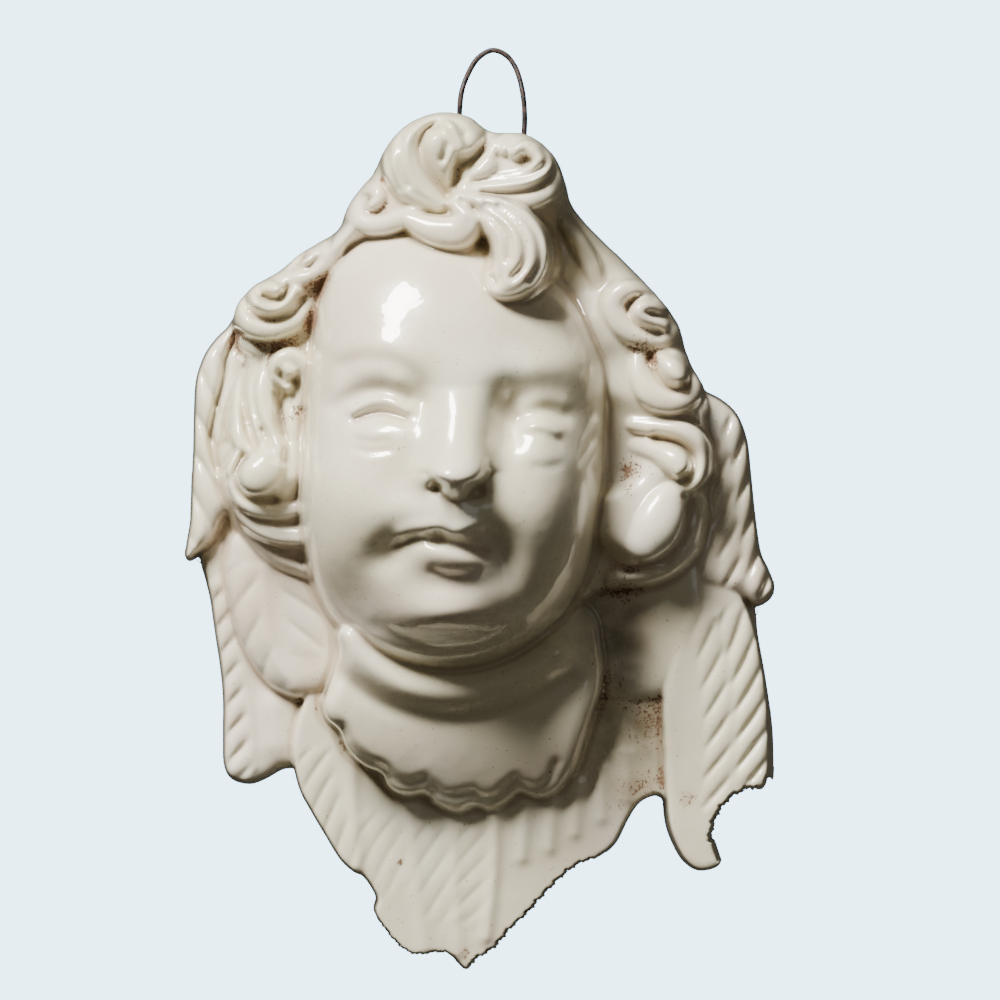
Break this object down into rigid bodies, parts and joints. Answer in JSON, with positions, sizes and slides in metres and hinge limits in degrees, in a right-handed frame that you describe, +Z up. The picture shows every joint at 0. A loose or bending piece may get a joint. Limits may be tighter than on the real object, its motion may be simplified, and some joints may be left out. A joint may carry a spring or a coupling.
{
  "type": "cherub wall plaque",
  "caption": "Glazed ceramic wall plaque of a curly-haired cherub's head between folded feathered wings, hollow at the back, hung by a loop of iron wire.",
  "frame": {"origin": "the place where the nail bears: on the wall plane, under the crown of the wire loop", "axes": "+Z up, the front faces -Y, the back rim and the wall lie in the plane y = 0, +X to the right as seen from the front"},
  "size_m": [0.2214, 0.1104, 0.3452],
  "materials": {
    "glaze": "glossy ivory glaze with brown stains in the hollows",
    "iron": "dark rusty iron wire"
  },
  "bodies": {
    "root": {"cherub_plaque": "glaze", "hanging_wire": "iron"}
  },
  "joints": []
}
